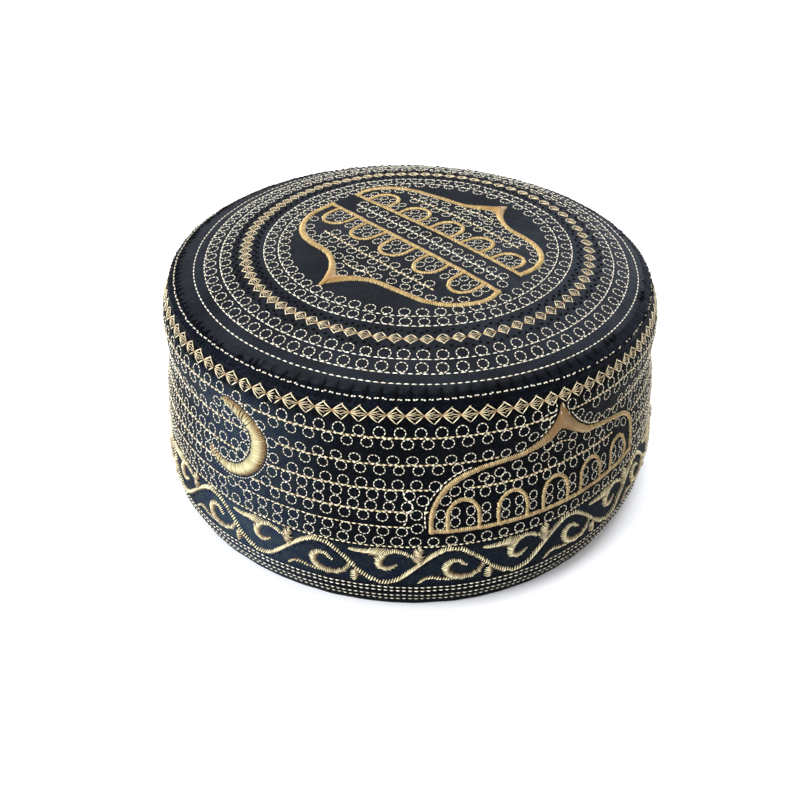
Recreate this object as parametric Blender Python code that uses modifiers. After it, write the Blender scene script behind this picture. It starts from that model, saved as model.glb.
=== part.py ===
"""A kufi: a round, nearly flat-topped cloth cap, open below.

The cap is built as it is sewn: a crown disc, a side band that stands round it,
and the overcast seam that joins the two at the rim.  Each is a cloth wall.
They are turned about the Z axis and then settled into the slightly oval,
leaning form that the soft cap takes on a table.

Units are metres, +Z is up and the front of the cap looks along -Y.
The origin is under the middle of the cap, in the plane of its hem.
"""

from collections import namedtuple
from math import atan2, cos, hypot, pi, radians, sin

import bpy

# Driving sizes
RIM_RADIUS = 0.0890
BAND_HEIGHT = 0.0832
CROWN_RISE = 0.0109
CROWN_FLATNESS = 4.1
CLOTH = 0.0025
GAP = 0.0003
SEAM_ON_CROWN = 0.0030
SEAM_ON_BAND = 0.0022
SEAM_PROUD = 0.0002
HEM_FOLD = 0.0009
HEM_INNER_EASE = 0.0004
SEGMENTS = 72
SAMPLES = 720
MERGE = 0.00001

# The band's outer side: how far down from the rim, and the radius there,
# each as a share of the band's height and of the rim's radius
BandRow = namedtuple("BandRow", "down radius")
BAND_ROWS = (
    BandRow(0.00, 1.000),
    BandRow(0.12, 1.037),
    BandRow(0.30, 1.030),
    BandRow(0.50, 1.056),
    BandRow(0.70, 1.062),
    BandRow(0.90, 1.067),
    BandRow(1.00, 1.029),
)

# Slow waves round the cap: the number of high places, how high they are as a
# share of the rim's radius, and the direction of the first, in degrees from +X
Wave = namedtuple("Wave", "count height direction")
OVAL_WAVES = (Wave(2, 0.0217, 48), Wave(3, 0.0032, 29), Wave(4, 0.0075, 17.5))
HEM_WAVES = (Wave(2, 0.0063, 130),)
LEAN_WAVES = (Wave(1, 0.0369, 180), Wave(2, 0.0090, 108), Wave(3, 0.0083, 52.6))

# Where the profiles have their points, as shares of the height or radius
BAND_OUTER_STEPS = (0.06, 0.12, 0.20, 0.30, 0.40, 0.50, 0.60, 0.70, 0.80, 0.87, 0.93, 0.97)
BAND_INNER_STEPS = (0.92, 0.80, 0.65, 0.50, 0.35, 0.20, 0.10)
CROWN_OUTER_STEPS = (0.0, 0.18, 0.36, 0.52, 0.66, 0.77, 0.85, 0.91)
CROWN_INNER_STEPS = (0.88, 0.76, 0.58, 0.34, 0.0)

# Colour, roughness and metallic value of each piece
Finish = namedtuple("Finish", "colour roughness metallic")
FINISHES = {
    "crown_top": Finish((0.022, 0.022, 0.032), 0.55, 0.0),
    "side_band": Finish((0.012, 0.014, 0.024), 0.45, 0.0),
    "rim_seam": Finish((0.008, 0.009, 0.013), 0.70, 0.0),
}


def waves_at(angle, waves):
    """Height of the waves in a direction, as a share of the rim's radius."""
    return sum(w.height * cos(w.count * (angle - radians(w.direction))) for w in waves)


def band_radius(down):
    """Outer radius of the band, on a smooth curve through BAND_ROWS."""
    rows = BAND_ROWS
    slopes = [
        (b.radius - a.radius) / (b.down - a.down) for a, b in zip(rows, rows[1:])
    ]
    tangents = [slopes[0]]
    tangents += [(a + b) / 2 for a, b in zip(slopes, slopes[1:])]
    tangents += [slopes[-1]]
    i = max(n for n in range(len(rows) - 1) if n == 0 or rows[n].down <= down)
    width = rows[i + 1].down - rows[i].down
    t = (down - rows[i].down) / width
    value = (
        (2 * t**3 - 3 * t**2 + 1) * rows[i].radius
        + (t**3 - 2 * t**2 + t) * width * tangents[i]
        + (3 * t**2 - 2 * t**3) * rows[i + 1].radius
        + (t**3 - t**2) * width * tangents[i + 1]
    )
    return RIM_RADIUS * value


def crown_height(share):
    """Height of the crown's outer side at a share of the rim's radius."""
    return BAND_HEIGHT + CROWN_RISE * (1 - share**CROWN_FLATNESS)


def settled(x, y, z):
    """Where a point of the turned cap lies once the soft cap has settled."""
    radius = hypot(x, y)
    angle = atan2(y, x)
    up = min(max(z / BAND_HEIGHT, 0.0), 1.0)
    out = min(radius / RIM_RADIUS, 1.0)
    spread = 1 + waves_at(angle, OVAL_WAVES) + (1 - up) * waves_at(angle, HEM_WAVES)
    lift = up * out**2 * RIM_RADIUS * waves_at(angle, LEAN_WAVES)
    return radius * spread * cos(angle), radius * spread * sin(angle), z + lift


def box_middle():
    """Middle of the settled band seen from above, which is put on the Z axis."""
    points = []
    for step in range(SAMPLES):
        angle = 2 * pi * step / SAMPLES
        for down in BAND_OUTER_STEPS:
            radius = band_radius(down)
            height = BAND_HEIGHT * (1 - down)
            points.append(settled(radius * cos(angle), radius * sin(angle), height))
    xs = [point[0] for point in points]
    ys = [point[1] for point in points]
    return (min(xs) + max(xs)) / 2, (min(ys) + max(ys)) / 2


def crown_profile():
    """Section of the crown disc: out along the top, down its edge and back."""
    edge = 1 - (SEAM_ON_CROWN + GAP) / RIM_RADIUS
    outer = [(RIM_RADIUS * s, crown_height(s)) for s in (*CROWN_OUTER_STEPS, edge)]
    inner = [(RIM_RADIUS * s, crown_height(s) - CLOTH) for s in (edge, *CROWN_INNER_STEPS)]
    return outer + inner


def band_profile():
    """Section of the side band: down the outside, round the hem and back up."""
    top = (SEAM_ON_BAND + GAP) / BAND_HEIGHT
    hem_radius = band_radius(1.0)
    outer = [(band_radius(s), BAND_HEIGHT * (1 - s)) for s in (top, *BAND_OUTER_STEPS)]
    hem = [
        (hem_radius, HEM_FOLD),
        (hem_radius - HEM_FOLD, 0.0),
        (hem_radius - CLOTH + HEM_INNER_EASE, 0.0),
    ]
    inner = [(band_radius(s) - CLOTH, BAND_HEIGHT * (1 - s)) for s in (*BAND_INNER_STEPS, top)]
    return outer + hem + inner


def seam_profile():
    """Section of the rim seam, which turns the corner from crown to band."""
    share = 1 - SEAM_ON_CROWN / RIM_RADIUS
    down = SEAM_ON_BAND / BAND_HEIGHT
    low = BAND_HEIGHT - SEAM_ON_BAND
    return [
        (RIM_RADIUS * share, crown_height(share) + SEAM_PROUD),
        (RIM_RADIUS, BAND_HEIGHT + SEAM_PROUD),
        (band_radius(down) + SEAM_PROUD, low),
        (band_radius(down) - CLOTH, low),
        (RIM_RADIUS * share, crown_height(share) - CLOTH),
    ]


def turned(name, profile, closed):
    """An object whose profile is turned about the Z axis by a Screw modifier."""
    edges = [(i, i + 1) for i in range(len(profile) - 1)]
    if closed:
        edges.append((len(profile) - 1, 0))
    mesh = bpy.data.meshes.new(name + "_profile")
    mesh.from_pydata([(radius, 0.0, height) for radius, height in profile], edges, [])
    piece = bpy.data.objects.new(name, mesh)
    screw = piece.modifiers.new("Turn", "SCREW")
    screw.axis = "Z"
    screw.angle = 2 * pi
    screw.steps = SEGMENTS
    screw.render_steps = SEGMENTS
    screw.use_merge_vertices = True
    screw.merge_threshold = MERGE
    return piece


def settle(piece, middle):
    """Makes the turned shape a mesh and moves its points to the settled form."""
    graph = bpy.context.evaluated_depsgraph_get()
    mesh = bpy.data.meshes.new_from_object(piece.evaluated_get(graph))
    profile = piece.data
    piece.modifiers.clear()
    piece.data = mesh
    mesh.name = piece.name
    bpy.data.meshes.remove(profile)
    for vertex in mesh.vertices:
        x, y, z = settled(*vertex.co)
        vertex.co = (x - middle[0], y - middle[1], z)
    mesh.shade_smooth()
    mesh.set_sharp_from_angle(angle=radians(40))


def paint(piece):
    """Gives a piece its own plain material."""
    finish = FINISHES[piece.name]
    material = bpy.data.materials.new(piece.name + "_cloth")
    material.use_nodes = True
    shader = material.node_tree.nodes["Principled BSDF"]
    shader.inputs["Base Color"].default_value = (*finish.colour, 1.0)
    shader.inputs["Roughness"].default_value = finish.roughness
    shader.inputs["Metallic"].default_value = finish.metallic
    piece.data.materials.append(material)


def main():
    for old in list(bpy.data.objects):
        bpy.data.objects.remove(old)
    kufi = bpy.data.collections.new("kufi")
    bpy.context.scene.collection.children.link(kufi)
    pieces = [
        turned("crown_top", crown_profile(), closed=False),
        turned("side_band", band_profile(), closed=True),
        turned("rim_seam", seam_profile(), closed=True),
    ]
    for piece in pieces:
        kufi.objects.link(piece)
    bpy.context.view_layer.update()
    middle = box_middle()
    for piece in pieces:
        settle(piece, middle)
        paint(piece)


main()
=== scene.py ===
"""Kufi: a round flat-topped cap of navy twill with gold machine embroidery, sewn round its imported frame."""

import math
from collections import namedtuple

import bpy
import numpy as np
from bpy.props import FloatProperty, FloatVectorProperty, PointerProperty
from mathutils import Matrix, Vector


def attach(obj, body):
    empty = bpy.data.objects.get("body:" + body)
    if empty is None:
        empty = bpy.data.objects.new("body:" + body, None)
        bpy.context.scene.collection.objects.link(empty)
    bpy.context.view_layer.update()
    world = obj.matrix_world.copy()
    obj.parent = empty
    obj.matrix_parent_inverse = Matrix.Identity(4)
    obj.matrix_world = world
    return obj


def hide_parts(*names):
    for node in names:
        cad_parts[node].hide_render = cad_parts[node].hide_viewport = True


bl_info = {
    "name": "Embroidered kufi",
    "version": (1, 0, 0),
    "blender": (4, 5, 0),
    "location": "3D View > Sidebar > Kufi",
    "description": "Sews a round flat-topped kufi and its gold embroidery round the packed frame",
    "category": "Add Mesh",
}

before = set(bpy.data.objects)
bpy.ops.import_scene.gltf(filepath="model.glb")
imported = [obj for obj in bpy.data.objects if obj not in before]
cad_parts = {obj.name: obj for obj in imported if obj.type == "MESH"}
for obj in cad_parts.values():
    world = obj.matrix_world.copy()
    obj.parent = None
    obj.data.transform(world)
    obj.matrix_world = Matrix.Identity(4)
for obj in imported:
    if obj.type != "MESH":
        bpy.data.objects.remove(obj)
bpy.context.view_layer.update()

MM = 0.001


def linear(code):
    """An sRGB hex colour as linear red, green, blue."""
    parts = [int(code[i:i + 2], 16) / 255 for i in (1, 3, 5)]
    return tuple(p / 12.92 if p <= 0.04045 else ((p + 0.055) / 1.055) ** 2.4 for p in parts)


# The form of the cap in metres, as the frame has it, and how far its seam reaches in millimetres
RIM_RADIUS = 0.0890
BAND_HEIGHT = 0.0832
CROWN_RISE = 0.0109
CROWN_FLATNESS = 4.1
CLOTH = 0.0025
SEAM_ON_CROWN = 3.0
SEAM_ON_BAND = 2.2
EDGE_ROUND = 0.0008
HEM_FOLD = 0.0009
# The band's radius as a share of the rim's, by the share of the way down
BAND_DOWN = np.array([0, 0.12, 0.30, 0.50, 0.70, 0.90, 1.00])
BAND_SHARE = np.array([1.000, 1.037, 1.030, 1.056, 1.062, 1.067, 1.029])
# How the cap is out of round: how often round it, by what share of the radius, and where it is
# most, in degrees. The oval is there all over, the hem's grows downwards, and the lean lifts the rim
Wave = namedtuple("Wave", "count share direction")
OVAL_WAVES = (Wave(2, 0.0217, 48), Wave(3, 0.0032, 29), Wave(4, 0.0075, 17.5))
HEM_WAVES = (Wave(2, 0.0063, 130),)
LEAN_WAVES = (Wave(1, 0.0369, 180), Wave(2, 0.0090, 108), Wave(3, 0.0083, 52.6))

# The embroidery is charted in millimetres. On the band x runs round the cap and y down from the
# rim; on the crown x and y are those of the cap before it settled out of round.
MM_PER_DEGREE = 1.616
ROUND = 360 * MM_PER_DEGREE


def hermite(knots, values, at):
    """Cubics through values at the knots, their slope at a knot the mean of the slopes beside it."""
    steps = np.diff(knots).reshape(-1, *[1] * (values.ndim - 1))
    slopes = np.diff(values, axis=0) / steps
    ends = np.concatenate([slopes[:1], (slopes[:-1] + slopes[1:]) / 2, slopes[-1:]])
    i = np.clip(np.searchsorted(knots, at, side="right") - 1, 0, len(knots) - 2)
    step = steps[i]
    t = (at - knots[i]).reshape(step.shape) / step
    if values.ndim == 1:
        step, t = step.ravel(), t.ravel()
    return (
        (1 + 2 * t) * (1 - t) ** 2 * values[i]
        + t * (1 - t) ** 2 * step * ends[i]
        + t * t * (3 - 2 * t) * values[i + 1]
        - t * t * (1 - t) * step * ends[i + 1]
    )


def waves_at(angle, waves):
    """How far the cap is out of round at an angle, as a share of its radius."""
    return sum(w.share * np.cos(w.count * (angle - math.radians(w.direction))) for w in waves)


def band_radius(down):
    """Radius of the band's outer face, down metres below the rim."""
    share = np.clip(down / BAND_HEIGHT, 0, 1)
    return RIM_RADIUS * hermite(BAND_DOWN, BAND_SHARE, share.ravel()).reshape(share.shape)


def crown_height(radius):
    """Height of the crown's outer face at a radius."""
    return BAND_HEIGHT + CROWN_RISE * (1 - (radius / RIM_RADIUS) ** CROWN_FLATNESS)


def cap_point(down, angle):
    """A point of the cap's outer face, down metres from the rim, on the crown where that is negative."""
    on_crown = np.minimum(down, -EDGE_ROUND)
    on_band = np.maximum(down, EDGE_ROUND)
    crown_radius = RIM_RADIUS + on_crown
    t = np.clip((down + EDGE_ROUND) / (2 * EDGE_ROUND), 0, 1)
    near, corner, far = (1 - t) ** 2, 2 * t * (1 - t), t * t
    radius = near * crown_radius + corner * RIM_RADIUS + far * band_radius(on_band)
    z = near * crown_height(crown_radius) + corner * BAND_HEIGHT + far * (BAND_HEIGHT - on_band)
    up = np.clip(z / BAND_HEIGHT, 0, 1)
    out = np.clip(radius / RIM_RADIUS, 0, 1)
    spread = 1 + waves_at(angle, OVAL_WAVES) + (1 - up) * waves_at(angle, HEM_WAVES)
    lift = up * out**2 * RIM_RADIUS * waves_at(angle, LEAN_WAVES)
    return np.stack(
        [radius * spread * np.cos(angle), radius * spread * np.sin(angle), z + lift], -1
    )


def box_middle():
    """The middle of the settled cap, which the frame puts at the origin."""
    angle = np.radians(np.arange(0, 360, 0.5))[:, None]
    down = np.linspace(-SEAM_ON_CROWN * MM, BAND_HEIGHT, 180)[None, :]
    points = cap_point(down + 0 * angle, angle + 0 * down).reshape(-1, 3)
    middle = (points.min(0) + points.max(0)) / 2
    middle[2] = 0
    return middle


MIDDLE = box_middle()
# The crown's sewn rings about their own centre, and the band's sewn lines and the rows above its hem
RING_CENTRE = np.array([2.0, -0.8])
RING_LINES = (81.7, 77.9, 72.2, 56.5, 51.3)
BAND_LINES = (11.07, 22.19, 31.85, 39.82, 45.9, 54.42)
HEM_ROWS = (72.09, 73.78, 76.47, 78.92)
HEM_BRIGHT = (0.95, 0.95, 0.8, 0.65)
# How deep and how wide the sewing pulls the cloth in
PUCKER = 0.16
PUCKER_WIDTH = 0.7
# Black hairs at the rim draw its cloth into this many small bays
BAYS = 115


def relief(x, y, height, pace, distance, lines):
    """Height of the cloth over its smooth form: softly uneven, and pulled in along the sewn lines."""
    a, b, c, d = pace
    soft = height * np.sin(x * a + 2 * np.sin(y * b)) * np.sin(y * c + 1.3 * np.sin(x * d))
    return soft - PUCKER * sum(np.exp(-((distance - line) / PUCKER_WIDTH) ** 2) for line in lines)


Chart = namedtuple("Chart", "place relief outward")
BAND = Chart(
    lambda x, y: cap_point(y * MM, np.radians(x / MM_PER_DEGREE)) - MIDDLE,
    lambda x, y: relief(x, y, 0.10, (0.43, 0.21, 0.35, 0.17), y, BAND_LINES + HEM_ROWS),
    -1,
)
CROWN = Chart(
    lambda x, y: cap_point(np.hypot(x, y) * MM - RIM_RADIUS, np.arctan2(y, x)) - MIDDLE,
    lambda x, y: relief(
        x, y, 0.12, (0.21, 0.12, 0.19, 0.11), np.hypot(x - RING_CENTRE[0], y - RING_CENTRE[1]), RING_LINES
    ),
    1,
)


def lifted(chart, x, y, height):
    """Points over a chart's x and y, height millimetres above the cloth."""
    step = 0.05
    here = chart.place(x, y)
    across = chart.place(x + step, y) - here
    along = chart.place(x, y + step) - here
    normal = np.cross(across, along) * chart.outward
    normal /= np.linalg.norm(normal, axis=-1, keepdims=True)
    return here + normal * ((height + chart.relief(x, y)) * MM)[..., None]


def wrapped(value, turn=360):
    """The same places round the cap, half a turn either side of 0 at most."""
    return (value + turn / 2) % turn - turn / 2


# Paths in a chart, their points this far apart unless said otherwise
FINE_STEP = 0.2


def lengths(path):
    """Distance along a path to each of its points."""
    return np.concatenate([[0], np.cumsum(np.linalg.norm(np.diff(path[:, :2], axis=0), axis=1))])


def smooth(points, step=FINE_STEP):
    """A smooth line through the points, its own points about step mm apart."""
    p = np.asarray(points, float)
    knots = lengths(p)
    return hermite(knots, p, np.linspace(0, knots[-1], max(2, int(knots[-1] / step) + 1)))


def on_ring(radius, angles):
    """Points of a ring of the crown."""
    return RING_CENTRE + radius * np.column_stack([np.cos(angles), np.sin(angles)])


def arc(radius, start, end):
    """A line along a ring of the crown, from one angle in degrees to another."""
    count = int(math.radians(end - start) * radius / FINE_STEP) + 1
    return on_ring(radius, np.radians(np.linspace(start, end, count)))


def along(path, distances):
    """The path's columns at those distances."""
    total = lengths(path)
    return np.stack([np.interp(distances, total, column) for column in path.T], -1)


def directions(path):
    """Unit directions of the path at its points."""
    way = np.gradient(path[:, :2], axis=0)
    return way / np.linalg.norm(way, axis=1, keepdims=True)


def inside(polygon, x, y):
    """Whether points lie in a polygon."""
    hit = np.zeros(x.shape, bool)
    for (ax, ay), (bx, by) in zip(polygon, np.roll(polygon, -1, axis=0)):
        if ay != by:
            hit ^= ((ay > y) != (by > y)) & (x < (bx - ax) * (y - ay) / (by - ay) + ax)
    return hit


def distance_to(points, x, y):
    """Distance from x and y to the nearest of the points."""
    return np.min([np.hypot(x - px, y - py) for px, py in points], axis=0)


# Stitches: one row each of start x, y, end x, y, thickness, lift and rise, in millimetres, and
# a share of brightness
THREAD = 0.46
LIE = 0.14
# From stitch to stitch of a line on the band and of one on the crown
LINE_PITCH = 1.95
CROWN_PITCH = 2.42


def stitches(starts, ends, thick=THREAD, lift=LIE, rise=0.0, bright=1.0):
    """Straight stitches from starts to ends."""
    extra = [np.broadcast_to(v, len(starts)) for v in (thick, lift, rise, bright)]
    return np.column_stack([starts, ends, *extra])


def moved(rows, turn=((1, 0), (0, 1)), shift=(0, 0)):
    """The same stitches turned by a matrix and shifted."""
    out = rows.copy()
    for c in (0, 2):
        out[:, c:c + 2] = rows[:, c:c + 2] @ np.asarray(turn, float) + np.asarray(shift, float)
    return out


def copies(rows, places):
    """The same stitches at each of some places round the band."""
    return np.concatenate([moved(rows, shift=(place, 0)) for place in places])


def running(path, pitch, filled=0.84, thick=THREAD, strands=(0.0,), lift=LIE, bright=1.0):
    """A line of running stitches, each from hole to hole, of one or more strands side by side."""
    total = lengths(path)[-1]
    count = max(1, round(total / pitch))
    pitch = total / count
    begin = (np.arange(count) + (1 - filled) / 2) * pitch
    side = directions(path)[:, ::-1] * (-1, 1)
    out = []
    for offset in strands:
        strand = path[:, :2] + side * offset
        room = lengths(strand)[-1] / total
        start, end = along(strand, begin * room), along(strand, (begin + filled * pitch) * room)
        out.append(stitches(start, end, thick, lift, 0.0, bright))
    return np.concatenate(out)


def beaded(path, pitch):
    """A line sewn double: two thin strands with a fat short stitch over them at each hole."""
    strands = running(path, pitch, 0.98, 0.32, (-0.14, 0.14), LIE, 0.55)
    return np.concatenate([strands, running(path, pitch, 0.50, 0.56, lift=LIE + 0.08)])


# How many stitches make a small circle
RING_STITCHES = 9


def rings(centres, seed, across=1.9, down=1.9, turn=0.0, thick=0.33):
    """Small circles of short stitches about the centres."""
    centres = np.asarray(centres, float)
    draw = np.random.default_rng(seed)
    n = len(centres)
    first = draw.uniform(0, 2 * math.pi, n)[:, None]
    size = draw.normal(1, 0.03, n)[:, None]
    start = first + np.arange(RING_STITCHES)[None, :] * 2 * math.pi / RING_STITCHES
    tilt = np.broadcast_to(turn, n)[:, None]
    wide = np.broadcast_to(across, n)[:, None] * size
    tall = np.broadcast_to(down, n)[:, None] * size

    def point(a):
        """A point of each circle at an angle round it."""
        u, v = wide * np.cos(a), tall * np.sin(a)
        x = centres[:, :1] + u * np.cos(tilt) - v * np.sin(tilt)
        y = centres[:, 1:2] + u * np.sin(tilt) + v * np.cos(tilt)
        return np.stack([x, y], -1).reshape(-1, 2)

    gap = 0.07 * 2 * math.pi / RING_STITCHES
    return stitches(point(start + gap), point(start + 2 * math.pi / RING_STITCHES - gap), thick)


def strip(points, widths, way=None):
    """The two edges of a satin strip about a centre line, as four columns."""
    line = smooth(np.column_stack([points, widths]))
    across = directions(line)[:, ::-1] * (-1, 1)
    half = line[:, 2:3] / 2
    if way is not None:
        way = np.asarray(way, float) / np.linalg.norm(way)
        share = (across @ way)[:, None]
        half = half / np.maximum(np.abs(share), 0.45) * np.sign(share)
        across = np.broadcast_to(way, across.shape)
    return np.column_stack([line[:, :2] - across * half, line[:, :2] + across * half])


def flipped(edges):
    """The same strip with its edges changed over, so that its stitches start from the other."""
    return edges[:, [2, 3, 0, 1]]


# How much of a strip's width its underlay takes up
UNDERLAY_REACH = 0.8


def underlay(edges):
    """Dark running stitches under a satin strip, as real embroidery has, which show between its
    ribs; their darkness is painted shade between the ribs.
    """
    width = np.linalg.norm(edges[:, 2:] - edges[:, :2], axis=1)
    lanes = max(2, int(np.median(width) / 0.45))
    out = []
    for share in np.linspace(0.5 - UNDERLAY_REACH / 2, 0.5 + UNDERLAY_REACH / 2, lanes):
        lane = edges[:, :2] * (1 - share) + edges[:, 2:] * share
        out.append(running(lane, 3.0, 0.97, 0.5, lift=0.02, bright=0.0))
    return np.concatenate(out)


def satin(edges, spacing, seed, fray=0.1, thick=0.62, lift=0.18, swell=0.2, dim=0.4):
    """Satin ribs across a strip between its two edges. They lie farther apart than the real
    thread's 0.4 mm so that each still shows."""
    draw = np.random.default_rng(seed)
    total = np.maximum(lengths(edges[:, :2]), lengths(edges[:, 2:]))
    count = max(2, int(total[-1] / spacing) + 1)
    at = np.linspace(0, total[-1], count)
    rows = np.stack([np.interp(at, total, column) for column in edges.T], -1)
    span = rows[:, 2:] - rows[:, :2]
    width = np.linalg.norm(span, axis=1, keepdims=True)
    unit = span / np.maximum(width, 1e-6)
    starts = rows[:, :2] - unit * draw.normal(0.04, fray, (count, 1))
    ends = rows[:, 2:] + unit * draw.normal(0.04, fray, (count, 1))
    rise = np.minimum(swell * width[:, 0], 0.7)
    # Long stitches lie in the shade of their neighbours
    shade = 1 - dim * np.clip((width[:, 0] - 2.0) / 4, 0, 1)
    lift = lift + draw.uniform(-0.03, 0.05, count)
    return stitches(starts, ends, thick, lift, rise, shade * draw.uniform(0.55, 1.1, count))


# Meshes
def cut_cylinder(sides, radius, fill, cuts):
    """A cylinder of unit height whose upright edges are cut."""
    bpy.ops.object.select_all(action="DESELECT")
    bpy.ops.mesh.primitive_cylinder_add(vertices=sides, radius=radius, depth=1, end_fill_type=fill)
    obj = bpy.context.object
    mesh = obj.data
    bpy.ops.object.mode_set(mode="EDIT")
    bpy.ops.mesh.select_all(action="DESELECT")
    bpy.ops.mesh.select_mode(type="EDGE")
    bpy.ops.object.mode_set(mode="OBJECT")
    for edge in mesh.edges:
        a, b = (mesh.vertices[v].co for v in edge.vertices)
        edge.select = abs(a.z - b.z) > 0.5
    bpy.ops.object.mode_set(mode="EDIT")
    bpy.ops.mesh.subdivide(number_cuts=cuts)
    bpy.ops.object.mode_set(mode="OBJECT")
    return obj, mesh


def thread_form(sides, cuts):
    """One stitch, modelled once: a unit tube whose ends draw in, with its points and its faces."""
    obj, mesh = cut_cylinder(sides, 0.5, "NGON", cuts)
    for end in (-1, 1):
        bpy.ops.object.mode_set(mode="EDIT")
        bpy.ops.mesh.select_mode(type="VERT")
        bpy.ops.mesh.select_all(action="DESELECT")
        bpy.ops.object.mode_set(mode="OBJECT")
        for vertex in mesh.vertices:
            vertex.select = vertex.co.z * end > 0.49
        bpy.ops.object.mode_set(mode="EDIT")
        bpy.ops.transform.resize(value=(0.55, 0.55, 1))
        bpy.ops.object.mode_set(mode="OBJECT")
    points = np.array([v.co for v in mesh.vertices])
    points[:, 2] += 0.5
    faces = [tuple(p.vertices) for p in mesh.polygons]
    bpy.data.objects.remove(obj)
    bpy.data.meshes.remove(mesh)
    return points, faces


def mesh_object(name, points, faces):
    """An object of those points and faces."""
    mesh = bpy.data.meshes.new(name)
    sizes = np.array([len(f) for f in faces], np.int32)
    mesh.vertices.add(len(points))
    mesh.vertices.foreach_set("co", np.asarray(points, np.float32).ravel())
    mesh.loops.add(int(sizes.sum()))
    mesh.loops.foreach_set("vertex_index", np.concatenate(faces).astype(np.int32))
    mesh.polygons.add(len(sizes))
    starts = np.cumsum(sizes) - sizes
    mesh.polygons.foreach_set("loop_start", starts.astype(np.int32))
    mesh.update(calc_edges=True)
    mesh.shade_smooth()
    obj = bpy.data.objects.new(name, mesh)
    bpy.context.scene.collection.objects.link(obj)
    return obj


def sew(name, chart, parts, material, seed, span=(0.0, 0.5, 1.0), form=(5, 1)):
    """One piece of many straight stitches laid on a chart of the cap, copies of one form with so
    many sides and cuts. Span is what the start, the middle and the end of each show of a thread's
    colours, as painted light and shade: 0 and 1 at a hole, in painted shade, 0.5 on its top, in a
    painted highlight."""
    rows = np.concatenate(parts)
    points, faces = thread_form(*form)
    draw = np.random.default_rng(seed)
    n, m = len(rows), len(points)
    start, end = rows[:, None, 0:2], rows[:, None, 2:4]
    thick, lift, rise, bright = (rows[:, c, None] for c in (4, 5, 6, 7))
    way = end - start
    length = np.maximum(np.linalg.norm(way, axis=-1, keepdims=True), 1e-6)
    side = way[..., ::-1] * (-1, 1) / length * chart.outward
    t = points[None, :, 2]
    flat = start + way * t[..., None] + side * (points[None, :, 0] * thick)[..., None]
    end_share = (2 * t - 1) ** 2
    dip = np.minimum(0.20, 0.14 * length[..., 0])
    height = lift + points[None, :, 1] * thick * 0.85 + rise * (1 - end_share) - dip * end_share**2
    placed = lifted(chart, flat[..., 0], flat[..., 1], height).reshape(-1, 3)
    offset = np.arange(n)[:, None, None] * m
    all_faces = []
    for size in sorted({len(face) for face in faces}):
        same = np.array([face for face in faces if len(face) == size])
        all_faces.extend((same[None] + offset).reshape(-1, size))
    obj = mesh_object(name, placed, all_faces)
    # Along carries each stitch's painted highlight and shade; tone, its random tone times its share of
    # brightness, which on satin holds painted shade for long stitches
    for attribute, values in (
        ("along", np.broadcast_to(np.interp(t, (0, 0.5, 1), span), (n, m))),
        ("tone", np.broadcast_to(bright * draw.uniform(0.6, 1, (n, 1)), (n, m))),
    ):
        layer = obj.data.attributes.new(attribute, "FLOAT", "POINT")
        layer.data.foreach_set("value", np.ascontiguousarray(values, np.float32).ravel())
    obj.data.materials.append(material)
    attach(obj, "root")
    return obj


# How far under the outer face a wall's inner face lies, in millimetres
WALL = CLOTH / MM
# Into how many sides a ring of the crown's cloth and of the band's is divided
CROWN_SIDES = 288
BAND_SIDES = 360


def face_rows(start, end, count, depth=0.0):
    """Rows of a wall's outer face, or of its inner one at its depth."""
    return [(down, depth) for down in np.linspace(start, end, count)]


def turned(name, chart, rows, sides, material):
    """A wall of cloth: a cylinder whose upright edges are cut, each ring then laid at its row.
    A row is a distance down, or a radius on the crown, and a depth under the outer face, in mm."""
    capped = chart is CROWN
    obj, mesh = cut_cylinder(sides, 1, "TRIFAN" if capped else "NOTHING", len(rows) - 2)
    obj.name = name
    mesh.name = name
    co = np.array([v.co for v in mesh.vertices])
    ring = np.rint((0.5 - co[:, 2]) * (len(rows) - 1)).astype(int)
    rows = np.asarray(rows, float)
    down, depth = rows[ring, 0], rows[ring, 1]
    angle = np.arctan2(co[:, 1], co[:, 0])
    if capped:
        radius = np.where(np.hypot(co[:, 0], co[:, 1]) < 0.5, 0, down)
        x, y = radius * np.cos(angle), radius * np.sin(angle)
    else:
        x, y = np.degrees(angle) * MM_PER_DEGREE, down
    placed = lifted(chart, x, y, -depth)
    mesh.vertices.foreach_set("co", placed.astype(np.float32).ravel())
    bpy.ops.object.mode_set(mode="EDIT")
    if not capped:
        bpy.ops.mesh.select_mode(type="EDGE")
        bpy.ops.mesh.select_all(action="DESELECT")
        bpy.ops.mesh.select_non_manifold()
        bpy.ops.mesh.bridge_edge_loops()
    bpy.ops.mesh.select_all(action="SELECT")
    bpy.ops.mesh.normals_make_consistent(inside=False)
    bpy.ops.object.mode_set(mode="OBJECT")
    mesh.shade_smooth()
    corner = np.zeros(len(mesh.loops), np.int32)
    mesh.loops.foreach_get("vertex_index", corner)
    flat = np.column_stack([x, y])[corner]
    if not capped:
        for face in mesh.polygons:
            span = slice(face.loop_start, face.loop_start + face.loop_total)
            if np.ptp(flat[span, 0]) > ROUND / 2:
                flat[span, 0] = np.where(flat[span, 0] < 0, flat[span, 0] + ROUND, flat[span, 0])
    layer = mesh.uv_layers[0]
    layer.name = "cloth"
    layer.data.foreach_set("uv", (flat * MM).astype(np.float32).ravel())
    mesh.materials.append(material)
    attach(obj, "root")
    return obj


# Materials
def add(tree, kind, inputs=(), out=0, **settings):
    """Adds a shader node with its settings and hands back one of its outputs. Its inputs, values or
    sockets to link, are given by name or number, or in the order that the node has them."""
    node = tree.nodes.new("ShaderNode" + kind)
    for name, value in settings.items():
        setattr(node, name, value)
    for key, value in inputs.items() if isinstance(inputs, dict) else enumerate(inputs):
        if isinstance(value, bpy.types.NodeSocket):
            tree.links.new(value, node.inputs[key])
        else:
            node.inputs[key].default_value = value
    return node.outputs[out] if node.outputs else None


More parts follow.
